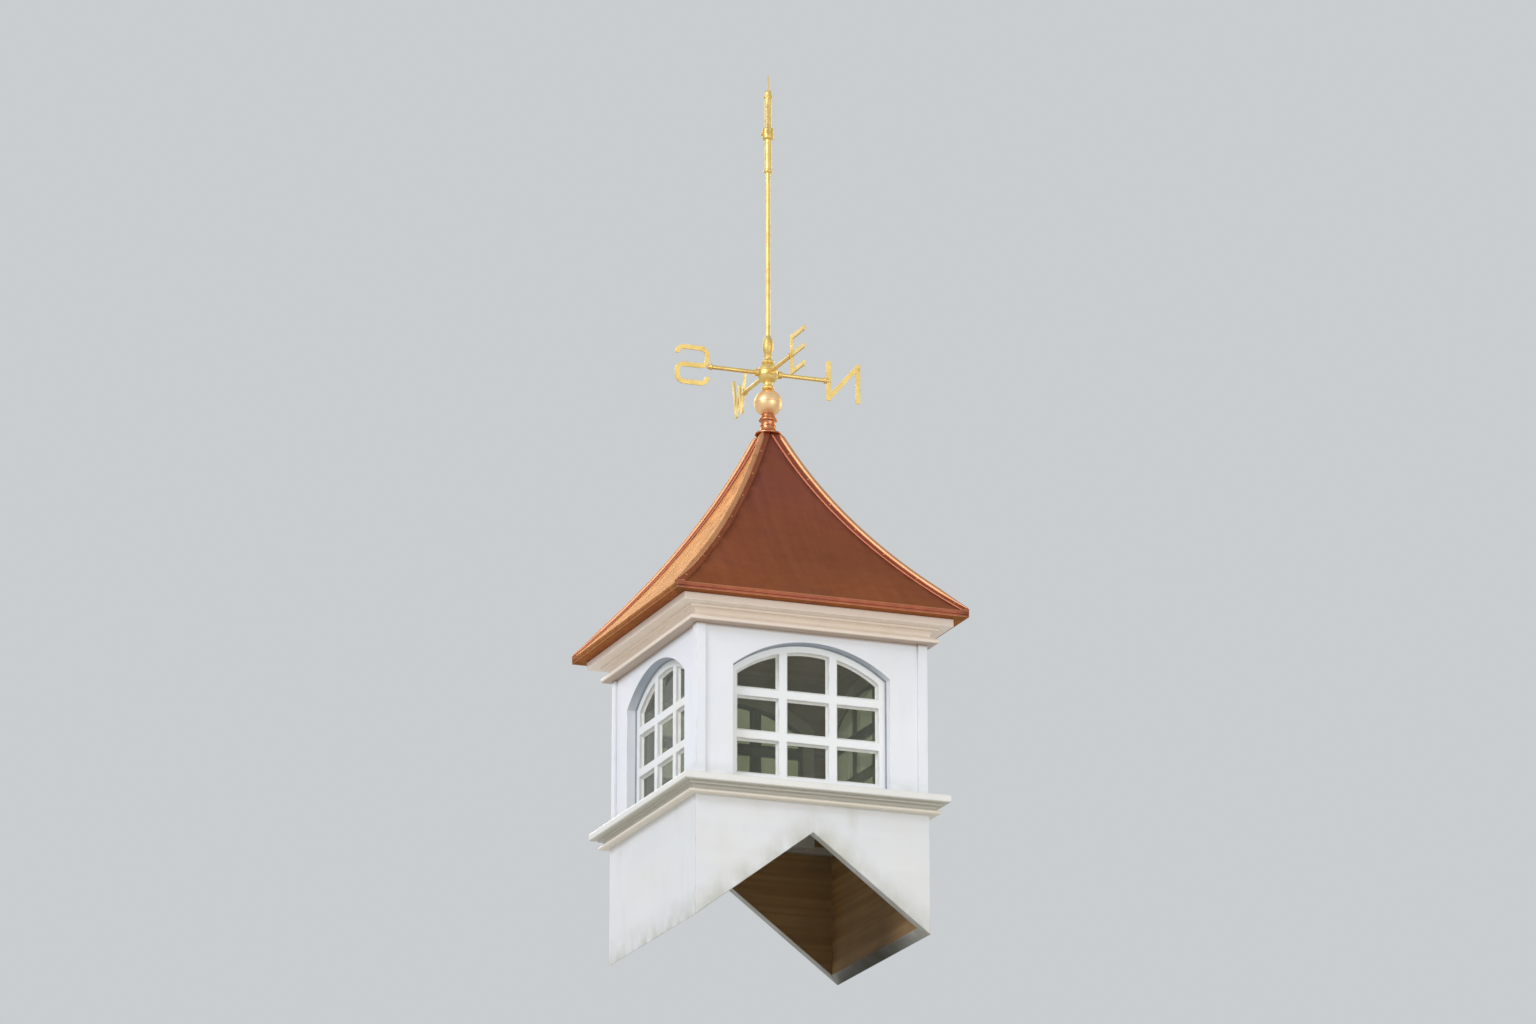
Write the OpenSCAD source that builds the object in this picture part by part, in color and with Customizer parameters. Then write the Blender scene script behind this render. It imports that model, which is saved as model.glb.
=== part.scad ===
// Garage cupola: a square window box on a saddle base, under a concave
// copper roof that carries a brass weathervane.
// Millimetres, +Z up, origin on the floor under the middle of the base.

/* [Saddle base] */
// How far the base stands out from the window box
base_out = 8; // [0:1:30]
// Thickness of the base boards
base_t = 26; // [18:1:38]
// Pitch of the roof that the base straddles, as a rise in 12
roof_pitch = 9; // [4:0.5:12]
// Height of the base above the top of the notch
saddle_h = 98; // [60:1:200]

/* [Window box] */
// Outer width of the square window box
body_w = 610; // [540:2:640]
// Thickness of the wall boards
wall_t = 26; // [18:1:34]
// Height of the walls from sill to roof deck
wall_h = 435; // [400:1:520]
// Width of a corner board on each face
corner_w = 26; // [16:1:50]
// How far a corner board stands proud
corner_t = 6; // [3:0.5:10]

/* [Windows] */
// Width of the opening in a wall
open_w = 420; // [300:2:450]
// Height of the wall left under the opening
open_sill = 8; // [4:1:40]
// Height of the straight side of the opening
open_side = 289; // [200:1:300]
// Rise of the arch over the opening
arch_rise = 74; // [30:1:90]
// Width of the sash frame that shows in the opening
sash_show = 20; // [12:1:35]
// Width of the sash frame behind the wall board
sash_lap = 20; // [8:1:24]
// Thickness of the sash
sash_t = 19; // [14:1:26]
// Thickness of the glazing bars
bar_t = 12; // [8:1:13]
// Width of the glazing bars
bar_w = 22; // [12:1:30]
// Clear height of a whole pane
pane_h = 88; // [60:1:95]
// Thickness of the glass
glass_t = 4; // [3:0.5:5]
// How far the glass runs under the frame
glass_lap = 8; // [4:1:10]

/* [Sill and crown] */
// Thickness of the sill board
sill_t = 20; // [14:1:30]
// How far the sill board stands out from the base
sill_out = 42; // [30:1:60]
// Radius of the rounded edge of the sill board
sill_round = 5; // [2:0.5:6]
// Height of the moulding under the sill board
sill_bed_h = 27; // [22:1:30]
// How far the moulding under the sill stands out
sill_bed_out = 23; // [18:1:28]
// Height of the bead at the foot of the sill moulding
sill_bead = 9; // [6:1:14]
// Height of the crown moulding under the roof deck
crown_h = 40; // [34:1:48]
// How far the crown moulding stands out from the wall
crown_out = 29; // [26:1:36]
// Height of the bead at the foot of the crown moulding
crown_bead = 14; // [8:1:18]
// Height of the flat fillet at the top of a moulding
fillet_h = 6; // [4:0.5:8]

/* [Roof] */
// Thickness of the roof deck
deck_t = 20; // [14:1:30]
// How far the roof deck stands out from the window box
deck_out = 57; // [40:1:80]
// How far the copper eave stands out from the deck
eave_out = 30; // [16:1:50]
// Height of the drip edge
drip_h = 16; // [10:1:26]
// How far the copper under the eave laps over the deck
return_lap = 20; // [10:1:40]
// Height of the roof from drip edge to cap
roof_h = 535; // [420:1:620]
// Width of the roof under the cap
top_w = 38; // [32:1:56]
// Depth of the hollow curve of a roof side
roof_sag = 35; // [15:1:50]
// Thickness of the copper as modelled
copper_t = 3; // [2:0.5:6]
// Width of the hip flashing on each side of a hip
hip_w = 15; // [8:1:25]
// Thickness of the hip flashing
hip_t = 4; // [2:0.5:6]

/* [Finial] */
// How far the cap flange laps past the tops of the hip flashings
cap_lap = 2; // [1:0.5:8]
// Thickness of the cap flange
cap_t = 4; // [2:0.5:6]
// Height of the cap from its foot to the ball
cap_h = 50; // [44:1:80]
// Diameter of the cap neck
neck_d = 38; // [30:1:42]
// Thickness of the ring round the cap neck
collar_t = 10; // [6:1:14]
// Diameter of the copper ball
ball_d = 72; // [60:1:90]

/* [Weathervane] */
// Diameter of the spire rod
rod_d = 12.7; // [10:0.1:16]
// Height of the rod top above the ball centre
rod_h = 845; // [600:1:1000]
// Diameter of the compass hub
hub_d = 56; // [46:1:64]
// Diameter of the hub foot and of the neck over the hub
hub_neck_d = 24; // [20:1:30]
// Height of the compass arms above the ball centre
hub_rise = 80; // [74:1:120]
// Diameter of the compass arms
arm_d = 11; // [7:0.5:13]
// Diameter of the ring where an arm enters the hub
ferrule_d = 20; // [16:1:24]
// Length of that ring
ferrule_l = 9; // [6:1:14]
// Overall span of the compass points
span = 512; // [440:2:600]
// Height of the compass letters
letter_h = 106; // [80:1:120]
// Width of the compass letters
letter_w = 94; // [70:1:100]
// Width of a letter stroke
stroke = 12; // [8:0.5:14]
// Thickness of the letters
letter_t = 5; // [3:0.5:8]
// Height of the bead above the compass arms
bead_rise = 76; // [64:1:120]
// Diameter of the bead
bead_d = 28; // [20:1:36]
// Height of the bead
bead_h = 52; // [30:1:60]
// Outer diameter of the vane sleeve
sleeve_d = 19; // [18:0.5:26]
// Length of the sleeve on its rod
sleeve_h = 215; // [160:1:260]
// Thickness of the rings round the sleeve and the arrow boss
ring_t = 10; // [6:1:12]
// Diameter of the boss that carries the arrow
boss_d = 30; // [28:1:40]
// Height of that boss
boss_h = 32; // [20:1:50]
// Diameter of the arrow shaft
shaft_d = 10; // [6:0.5:14]
// Length of the arrow
arrow_l = 520; // [420:2:640]
// Height of the arrow head
head_h = 96; // [60:1:130]
// Length of the arrow head
head_l = 110; // [70:1:150]
// Height of the arrow tail
tail_h = 130; // [90:1:160]
// Length of the arrow tail
tail_l = 150; // [100:1:190]
// Depth of the notch in the arrow head and tail
swallow = 28; // [10:1:40]
// Width of the slots between the feathers of the tail
feather_gap = 5; // [3:0.5:8]
// Thickness of the arrow plates
plate_t = 4; // [3:0.5:8]
// Direction of the arrow at rest, turned from the rear
arrow_turn = -21; // [-180:1:180]

/* [Hidden] */
$fn = 72;

// Turn of each side about the axis, from the front
FRONT = 0;
RIGHT = 90;
REAR = 180;
LEFT = 270;

// Clearance of a fixed fit, of the sleeve round its rod and over its end
slip = 0.2;
run_gap = 0.1;
end_gap = 0.3;
// How far a cutter runs past the face that it cuts
past = 1;
// Sides of the large arcs of the roof and arches
fine = 360;

body_r = body_w / 2;
base_r = body_r + base_out;
deck_r = body_r + deck_out;
eave_r = deck_r + eave_out;
top_r = top_w / 2;
ball_r = ball_d / 2;
rod_r = rod_d / 2;

notch_z = base_r * roof_pitch / 12;
base_top = notch_z + saddle_h;
sill_top = base_top + sill_t;
wall_top = sill_top + wall_h;
deck_top = wall_top + deck_t;
drip_top = deck_top + drip_h;
roof_top = drip_top + roof_h;
ball_z = roof_top + cap_h + ball_r;
arms_z = ball_z + hub_rise;
bead_z = arms_z + bead_rise;
rod_top = ball_z + rod_h;

open_z = sill_top + open_sill;
spring_z = open_z + open_side;
arch_r = (pow(open_w / 2, 2) + pow(arch_rise, 2)) / (2 * arch_rise);
arch_z = spring_z + arch_rise - arch_r;
pane_w = (open_w - 2 * sash_show - 2 * bar_w) / 3;
pane_pitch_x = pane_w + bar_w;
pane_pitch_z = pane_h + bar_w;
sash_y = -body_r + wall_t;

// The hollow curve of a roof side is a circular arc through eave and top
chord = [top_r - eave_r, roof_top - drip_top];
chord_l = norm(chord);
roof_r = pow(chord_l, 2) / (8 * roof_sag) + roof_sag / 2;
mid = [(top_r + eave_r) / 2, (drip_top + roof_top) / 2];
out_dir = [chord[1], -chord[0]] / chord_l;
roof_c = mid + (roof_r - roof_sag) * out_dir;

white = "#f1f1ee";
copper = "#8a4a33";
bright_copper = "#b87352";
brass = "#d9bd74";
glass = "#5c6a66";

// Depth of the ball that a round seat of a given radius takes in
function seat_h(r) = ball_r - sqrt(pow(ball_r, 2) - pow(r, 2));

// One quarter of the plan, as a mitre for the front piece
module front_quarter(reach) {
    translate([0, 0, -past])
        linear_extrude(rod_top)
            polygon([[0, 0], [reach, -reach], [-reach, -reach]]);
}

// A profile of distance from the axis and height, run along the front and mitred
module front_run(reach) {
    intersection() {
        mirror([0, 1, 0])
            rotate([90, 0, 90])
                linear_extrude(2 * reach, center = true)
                    children();
        front_quarter(reach + past);
    }
}

// Outline of the arched opening, grown outwards by a given width
module arch_outline(grow) {
    intersection() {
        translate([0, arch_z])
            circle(arch_r + grow, $fn = fine);
        translate([-open_w / 2 - grow, open_z - grow])
            square([open_w + 2 * grow, arch_r + open_side + 2 * grow]);
    }
}

module upright(y, t) {
    translate([0, y + t, 0])
        rotate([90, 0, 0])
            linear_extrude(t)
                children();
}

module saddle_board() {
    color(white)
        intersection() {
            upright(-base_r, base_t)
                difference() {
                    translate([-base_r, 0])
                        square([2 * base_r, base_top]);
                    polygon([[-base_r, 0], [0, notch_z], [base_r, 0]]);
                }
            front_quarter(base_r + past);
        }
}

module side_board() {
    rise = base_t * roof_pitch / 12;
    color(white)
        front_run(base_r)
            polygon([[base_r, 0], [base_r, base_top], [base_r - base_t, base_top], [base_r - base_t, rise]]);
}

// A moulding of a flat fillet, a deep hollow and a half-round bead, hung from its top
module moulding(back, top, out, h, bead) {
    nose = bead / 2;
    hollow = (h - fillet_h - bead) / 2;
    face = back + out;
    difference() {
        translate([back, top - h])
            square([out, h]);
        translate([face - nose, top - h - past])
            square([nose + past, h - fillet_h + past]);
        translate([face - nose, top - fillet_h - hollow])
            circle(hollow);
    }
    translate([face - nose, top - h + nose])
        circle(nose);
}

// A board from back to face, with its outer edge rounded above and below
module rounded_board(back, face, bottom, t, round) {
    translate([back, bottom])
        square([face - round - back, t]);
    translate([face - 2 * round, bottom + round])
        square([2 * round, t - 2 * round]);
    for (level = [round, t - round])
        translate([face - round, bottom + level])
            circle(round);
}

module sill() {
    face = base_r + sill_out;
    color(white)
        front_run(face)
            union() {
                rounded_board(body_r - wall_t, face, base_top, sill_t, sill_round);
                moulding(base_r, base_top, sill_bed_out, sill_bed_h, sill_bead);
            }
}

module wall_panel() {
    color(white)
        intersection() {
            upright(-body_r, wall_t)
                difference() {
                    translate([-body_r, sill_top])
                        square([body_w, wall_h]);
                    arch_outline(0);
                }
            front_quarter(body_r + past);
        }
}

module corner_board() {
    outer = body_r + corner_t;
    color(white)
        translate([0, 0, sill_top])
            linear_extrude(wall_h - crown_h)
                difference() {
                    translate([outer - corner_w, -outer])
                        square(corner_w);
                    translate([0, -body_r])
                        square(body_r);
                }
}

module window_sash() {
    color(white)
        union() {
            upright(sash_y, sash_t)
                difference() {
                    arch_outline(sash_lap);
                    arch_outline(glass_lap - sash_show);
                }
            upright(sash_y, bar_t)
                difference() {
                    arch_outline(glass_lap - sash_show);
                    intersection() {
                        arch_outline(-sash_show);
                        panes();
                    }
                }
        }
}

// The nine lights, three columns of three, as plain rectangles
module panes() {
    for (column = [-1:1], row = [0:2]) {
        tall = row == 2 ? arch_r : pane_h;
        translate([column * pane_pitch_x - pane_w / 2, open_z + sash_show + row * pane_pitch_z])
            square([pane_w, tall]);
    }
}

module window_glass() {
    color(glass)
        upright(sash_y + bar_t, glass_t)
            arch_outline(glass_lap - sash_show - slip);
}

module crown() {
    color(white)
        front_run(body_r + crown_out)
            moulding(body_r, wall_top, crown_out, crown_h, crown_bead);
}

module roof_deck() {
    color(white)
        translate([-deck_r, -deck_r, wall_top])
            cube([2 * deck_r, 2 * deck_r, deck_t]);
}

// A skin that follows the hollow curve, from one height above it to another
module roof_skin(above, below) {
    intersection() {
        translate(roof_c)
            difference() {
                circle(roof_r + below, $fn = fine);
                circle(roof_r - above, $fn = fine);
            }
        translate([0, deck_top])
            square([eave_r, roof_top - deck_top]);
    }
}

module copper_panel() {
    color(copper)
        front_run(eave_r)
            union() {
                roof_skin(0, copper_t);
                translate([eave_r - copper_t, deck_top])
                    square([copper_t, drip_h]);
                translate([deck_r - return_lap, deck_top])
                    square([eave_out + return_lap, copper_t]);
            }
}

// The half of a hip flashing on the front slope, which ends at the middle of that slope
module hip_half() {
    intersection() {
        front_run(eave_r)
            roof_skin(hip_t, 0);
        rotate([0, 0, -45])
            translate([0, -hip_w, 0])
                cube([2 * eave_r, hip_w, roof_top]);
        translate([0, -eave_r, 0])
            cube([eave_r, eave_r, roof_top]);
    }
}

module hip_seam() {
    color(bright_copper)
        union() {
            hip_half();
            mirror([1, 1, 0])
                hip_half();
        }
}

// A turned piece on the axis, from a profile of radius and height, bored for the rod
module turned_on_rod(bore) {
    rotate_extrude()
        intersection() {
            children();
            translate([bore, -rod_top])
                square([eave_r, 2 * rod_top]);
        }
}

module roof_cap() {
    flange_r = sqrt(2) * (top_r + hip_t) + cap_lap;
    neck_r = neck_d / 2;
    sweep = flange_r - neck_r;
    color(copper)
        translate([0, 0, roof_top])
            difference() {
                turned_on_rod(rod_r + slip) {
                    difference() {
                        square([flange_r, cap_t + sweep]);
                        translate([flange_r, cap_t + sweep])
                            circle(sweep);
                    }
                    square([neck_r, cap_h + seat_h(neck_r) / 2]);
                    translate([neck_r, cap_h - collar_t])
                        circle(d = collar_t);
                }
                translate([0, 0, cap_h + ball_r])
                    sphere(r = ball_r);
            }
}

module copper_ball() {
    color(bright_copper)
        translate([0, 0, ball_z])
            difference() {
                sphere(r = ball_r);
                cylinder(r = rod_r + slip, h = ball_d + 2 * past, center = true);
            }
}

// The rod stands on the roof deck and carries the whole finial
module spire_rod() {
    color(brass)
        translate([0, 0, deck_top])
            cylinder(r = rod_r, h = rod_top - deck_top);
}

module compass_hub() {
    neck_r = hub_neck_d / 2;
    foot = -hub_rise + ball_r;
    top = bead_rise - bead_h / 2;
    ring = ring_t / 2;
    color(brass)
        translate([0, 0, arms_z])
            difference() {
                union() {
                    sphere(d = hub_d);
                    turned_on_rod(rod_r + slip) {
                        translate([0, foot - seat_h(neck_r) / 2])
                            square([neck_r, seat_h(neck_r) / 2 - foot]);
                        translate([neck_r, foot + ring])
                            circle(ring);
                        square([rod_r + ring, top]);
                        translate([rod_r + ring, hub_d / 2 + ring / 2])
                            circle(ring);
                    }
                }
                cylinder(r = rod_r + slip, h = 2 * hub_rise, center = true);
                translate([0, 0, -hub_rise])
                    sphere(r = ball_r);
            }
}

module bar(from, to) {
    run = to - from;
    translate(from)
        rotate(atan2(run[1], run[0]))
            translate([-stroke / 2, -stroke / 2])
                square([norm(run) + stroke, stroke]);
}

// Slanted strokes are cut off at the outline of the letter
module in_letter_box() {
    intersection() {
        union()
            children();
        square([letter_w, letter_h], center = true);
    }
}

module letter_n() {
    x = letter_w / 2 - stroke / 2;
    z = letter_h / 2 - stroke / 2;
    bar([-x, -z], [-x, z]);
    bar([x, -z], [x, z]);
    in_letter_box()
        bar([-x, z], [x, -z]);
}

module letter_e() {
    x = letter_w / 2 - stroke / 2;
    z = letter_h / 2 - stroke / 2;
    bar([-x, -z], [-x, z]);
    for (level = [-z, 0, z])
        bar([-x, level], [x, level]);
}

module rounded_square(w, h, r) {
    square([w - 2 * r, h], center = true);
    square([w, h - 2 * r], center = true);
    for (x = [-1, 1], z = [-1, 1])
        translate([x * (w / 2 - r), z * (h / 2 - r)])
            circle(r);
}

// The upper bowl of the S ends in a short hook, and its half turn is the lower one
module letter_s() {
    bowl_h = (letter_h + stroke) / 2;
    bowl_r = 2 * stroke;
    for (half = [0, 180])
        rotate(half)
            translate([0, (letter_h - bowl_h) / 2])
                difference() {
                    rounded_square(letter_w, bowl_h, bowl_r);
                    rounded_square(letter_w - 2 * stroke, bowl_h - 2 * stroke, bowl_r - stroke);
                    translate([stroke / 2, -bowl_h / 2 - past])
                        square([letter_w, bowl_h - bowl_r + past]);
                }
}

module letter_w_shape() {
    x = letter_w / 2 - stroke / 2;
    z = letter_h / 2 - stroke / 2;
    in_letter_box()
        for (side = [-1, 1]) {
            bar([side * x, z], [side * x / 2, -z]);
            bar([side * x / 2, -z], [0, z / 2]);
        }
}

// An arm along +X from the hub, with its letter at the end and how far it runs into it
module compass_arm(run_in) {
    hub_r = hub_d / 2;
    rotate([0, 90, 0]) {
        cylinder(d = arm_d, h = span / 2 - letter_w + run_in);
        cylinder(d = ferrule_d, h = hub_r + ferrule_l);
    }
    translate([span / 2 - letter_w / 2, letter_t / 2, 0])
        rotate([90, 0, 0])
            linear_extrude(letter_t)
                children();
}

// Two arms in line, which end on the round of the hub
module arm_pair(turn, run_in) {
    color(brass)
        translate([0, 0, arms_z])
            rotate([0, 0, turn])
                difference() {
                    union() {
                        compass_arm(stroke / 2)
                            children(0);
                        rotate([0, 0, 180])
                            compass_arm(run_in)
                                children(1);
                    }
                    sphere(d = hub_d);
                }
}

module compass_arms_ns() {
    arm_pair(0, stroke / 2) {
        mirror([1, 0])
            letter_n();
        letter_s();
    }
}

// The middle of the W starts further out than the edge of the letter
module compass_arms_ew() {
    arm_pair(-90, letter_w / 8 + stroke / 2) {
        letter_e();
        letter_w_shape();
    }
}

// A long bead, whose side is an arc from the rod out to its full width and back
module brass_bead() {
    bore = rod_r + slip;
    swell = bead_d / 2 - bore;
    arc_r = (pow(swell, 2) + pow(bead_h / 2, 2)) / (2 * swell);
    color(brass)
        translate([0, 0, bead_z])
            turned_on_rod(bore)
                translate([bead_d / 2 - arc_r, 0])
                    circle(arc_r);
}

// The sleeve hangs on the end of the rod, between a ring at its foot and a domed top
module vane_sleeve() {
    sleeve_r = sleeve_d / 2;
    ring = ring_t / 2;
    color(brass)
        translate([0, 0, rod_top - sleeve_h])
            difference() {
                union() {
                    cylinder(r = sleeve_r, h = sleeve_h + ring);
                    translate([0, 0, sleeve_h + ring])
                        sphere(r = sleeve_r);
                    rotate_extrude()
                        for (level = [ring, sleeve_h - ring])
                            translate([sleeve_r - ring / 2, level])
                                circle(ring);
                }
                translate([0, 0, -past])
                    cylinder(r = rod_r + run_gap, h = sleeve_h + end_gap + past);
            }
}

module vane_arrow() {
    sleeve_r = sleeve_d / 2;
    ring = ring_t / 2;
    color(brass)
        translate([0, 0, rod_top - sleeve_h / 2])
            rotate([0, 0, 90 + arrow_turn])
                difference() {
                    union() {
                        translate([-arrow_l / 2 + swallow, 0, 0])
                            rotate([0, 90, 0])
                                cylinder(d = shaft_d, h = arrow_l - 2 * swallow);
                        translate([0, plate_t / 2, 0])
                            rotate([90, 0, 0])
                                linear_extrude(plate_t)
                                    arrow_plates();
                        cylinder(d = boss_d, h = boss_h - ring_t, center = true);
                        rotate_extrude() {
                            translate([0, -boss_h / 2])
                                square([boss_d / 2 - ring, boss_h]);
                            for (end = [-1, 1])
                                translate([boss_d / 2 - ring, end * (boss_h / 2 - ring)])
                                    circle(ring);
                        }
                    }
                    cylinder(r = sleeve_r, h = tail_h, center = true);
                }
}

// The flat head and the feathered tail of the arrow, which points along +X
module arrow_plates() {
    tip = arrow_l / 2;
    notch = [-tip + swallow, 0];
    slant = 45;
    polygon([[tip, 0], [tip - head_l, head_h / 2], [tip - head_l + swallow, 0], [tip - head_l, -head_h / 2]]);
    difference() {
        polygon([notch, [-tip, tail_h / 2], [-tip + tail_l - tail_h / 2, tail_h / 2], [-tip + tail_l, 0],
                 [-tip + tail_l - tail_h / 2, -tail_h / 2], [-tip, -tail_h / 2]]);
        for (feather = [1:3], side = [-1, 1])
            translate(notch + [feather * (tail_l - swallow) / 4, side * (shaft_d / 2 + feather_gap)])
                rotate(side * (180 - slant))
                    translate([0, -feather_gap / 2])
                        square([tail_h, feather_gap]);
    }
}

module turned(angle) {
    rotate([0, 0, angle])
        children();
}

turned(FRONT) saddle_board();  // saddle_board_front
turned(REAR) saddle_board();  // saddle_board_rear
turned(RIGHT) side_board();  // side_board_right
turned(LEFT) side_board();  // side_board_left
turned(FRONT) sill();  // sill_front
turned(RIGHT) sill();  // sill_right
turned(REAR) sill();  // sill_rear
turned(LEFT) sill();  // sill_left
turned(FRONT) wall_panel();  // wall_panel_front
turned(RIGHT) wall_panel();  // wall_panel_right
turned(REAR) wall_panel();  // wall_panel_rear
turned(LEFT) wall_panel();  // wall_panel_left
turned(FRONT) corner_board();  // corner_board_front_right
turned(RIGHT) corner_board();  // corner_board_rear_right
turned(REAR) corner_board();  // corner_board_rear_left
turned(LEFT) corner_board();  // corner_board_front_left
turned(FRONT) window_sash();  // window_sash_front
turned(RIGHT) window_sash();  // window_sash_right
turned(REAR) window_sash();  // window_sash_rear
turned(LEFT) window_sash();  // window_sash_left
turned(FRONT) window_glass();  // window_glass_front
turned(RIGHT) window_glass();  // window_glass_right
turned(REAR) window_glass();  // window_glass_rear
turned(LEFT) window_glass();  // window_glass_left
turned(FRONT) crown();  // crown_front
turned(RIGHT) crown();  // crown_right
turned(REAR) crown();  // crown_rear
turned(LEFT) crown();  // crown_left
roof_deck();
turned(FRONT) copper_panel();  // copper_panel_front
turned(RIGHT) copper_panel();  // copper_panel_right
turned(REAR) copper_panel();  // copper_panel_rear
turned(LEFT) copper_panel();  // copper_panel_left
turned(FRONT) hip_seam();  // hip_seam_front_right
turned(RIGHT) hip_seam();  // hip_seam_rear_right
turned(REAR) hip_seam();  // hip_seam_rear_left
turned(LEFT) hip_seam();  // hip_seam_front_left
roof_cap();
copper_ball();
spire_rod();
compass_hub();
compass_arms_ns();
compass_arms_ew();
brass_bead();
vane_sleeve();
vane_arrow();
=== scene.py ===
"""Garage cupola: painted boards and arched windows under a concave copper roof with a brass weathervane."""
import math

import bmesh
import bpy
from mathutils import Matrix, Vector


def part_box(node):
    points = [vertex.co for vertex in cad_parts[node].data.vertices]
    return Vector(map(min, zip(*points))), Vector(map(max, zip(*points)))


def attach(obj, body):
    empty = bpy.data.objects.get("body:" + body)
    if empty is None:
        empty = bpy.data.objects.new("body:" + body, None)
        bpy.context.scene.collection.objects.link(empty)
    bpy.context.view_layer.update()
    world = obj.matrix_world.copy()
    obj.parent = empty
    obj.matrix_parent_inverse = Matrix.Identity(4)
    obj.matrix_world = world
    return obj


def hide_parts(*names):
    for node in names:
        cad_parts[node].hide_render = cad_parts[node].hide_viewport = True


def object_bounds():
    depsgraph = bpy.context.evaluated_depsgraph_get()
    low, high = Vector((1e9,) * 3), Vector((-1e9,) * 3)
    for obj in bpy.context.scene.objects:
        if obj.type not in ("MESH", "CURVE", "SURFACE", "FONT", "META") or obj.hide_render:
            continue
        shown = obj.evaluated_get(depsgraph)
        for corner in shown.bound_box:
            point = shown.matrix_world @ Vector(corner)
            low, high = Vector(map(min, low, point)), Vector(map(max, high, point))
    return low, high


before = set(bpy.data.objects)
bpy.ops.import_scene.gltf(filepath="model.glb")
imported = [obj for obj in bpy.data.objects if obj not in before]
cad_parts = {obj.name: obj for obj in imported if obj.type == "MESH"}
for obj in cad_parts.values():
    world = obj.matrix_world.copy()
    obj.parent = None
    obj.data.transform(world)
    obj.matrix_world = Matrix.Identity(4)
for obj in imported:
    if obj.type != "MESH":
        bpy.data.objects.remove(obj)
cad_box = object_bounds()

# Studio
# A pale paper backdrop and floor under four large soft lamps: a key lamp high on the left, a low one in
# front that reaches under the mouldings, a rim lamp behind, and a weak one for the far side.
# The camera looks up from below, as at a roof, so the floor lets it through from underneath.
lens_mm = 152
sensor_mm = 36
camera_place = Vector((-5.74, -14.87, -3.63))
view_reach = 200
object_middle = (cad_box[0] + cad_box[1]) / 2
backdrop_hex = "#c9cdcf"
floor_hex = "#e2dfd8"
floor_r = 60
floor_fades_from = 2.0
floor_fades_to = 10.0
ambient_hex = "#f0f3f8"
ambient_strength = 0.66
lamps = [
    # name, place, size in metres, watts, colour
    ("key_lamp", (-9.0, -4.5, 5.5), 4.5, 610, "#f9f9fe"),
    ("front_lamp", (2.5, -9.5, 0.6), 4.0, 310, "#fffaf4"),
    ("rim_lamp", (-0.8, 9.5, 5.6), 4.5, 225, "#f8fbff"),
    ("side_lamp", (9.0, 3.5, 3.5), 4.5, 170, "#fffdf8"),
]


def colour(code):
    """An sRGB hex code as linear red, green, blue and alpha."""
    parts = [int(code[i:i + 2], 16) / 255 for i in (1, 3, 5)]
    return [p / 12.92 if p <= 0.04045 else ((p + 0.055) / 1.055) ** 2.4 for p in parts] + [1.0]


def add(owner, kind, inputs=None, **settings):
    """Adds one shader node, with its settings, and with a value or a link for each input named."""
    node = owner.node_tree.nodes.new("ShaderNode" + kind)
    for key, value in settings.items():
        setattr(node, key, value)
    for key, value in (inputs or {}).items():
        if isinstance(value, bpy.types.NodeSocket):
            owner.node_tree.links.new(value, node.inputs[key])
        else:
            node.inputs[key].default_value = value
    return node


def aim(thing, place, target):
    """Puts a lamp or the camera at a place and turns it to a target."""
    thing.location = place
    thing.rotation_euler = (Vector(target) - Vector(place)).to_track_quat("-Z", "Y").to_euler()
    bpy.context.scene.collection.objects.link(thing)


bpy.context.scene.view_settings.view_transform = "Standard"
camera = bpy.data.objects.new("camera", bpy.data.cameras.new("camera"))
camera.data.sensor_width = sensor_mm
camera.data.lens = lens_mm
camera.data.clip_end = view_reach
aim(camera, camera_place, object_middle)
bpy.context.scene.camera = camera

for name, place, size, watts, tone in lamps:
    lamp = bpy.data.lights.new(name, "AREA")
    lamp.size = size
    lamp.energy = watts
    lamp.color = colour(tone)[:3]
    holder = bpy.data.objects.new(name, lamp)
    # No lamp shows through the windows
    holder.visible_transmission = False
    aim(holder, place, object_middle)

# The eye, a gloss and the glass all see the plain backdrop, and everything else gets a soft ambient light
world = bpy.data.worlds.new("studio")
world.use_nodes = True
world.node_tree.nodes.clear()
bpy.context.scene.world = world
rays = add(world, "LightPath").outputs
seen = add(world, "Math", {0: rays["Is Camera Ray"], 1: rays["Is Glossy Ray"]}, operation="MAXIMUM")
seen = add(world, "Math", {0: seen.outputs[0], 1: rays["Is Transmission Ray"]}, operation="MAXIMUM")
ambient = add(world, "Background", {"Color": colour(ambient_hex), "Strength": ambient_strength})
backdrop = add(world, "Background", {"Color": colour(backdrop_hex), "Strength": 1.0})
sky = add(world, "MixShader", {0: seen.outputs[0], 1: ambient.outputs[0], 2: backdrop.outputs[0]})
add(world, "OutputWorld", {0: sky.outputs[0]})

bm = bmesh.new()
bmesh.ops.create_circle(bm, cap_ends=True, segments=64, radius=floor_r)
floor = bpy.data.objects.new("studio_floor", bpy.data.meshes.new("studio_floor"))
bm.to_mesh(floor.data)
bm.free()
bpy.context.scene.collection.objects.link(floor)

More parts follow.
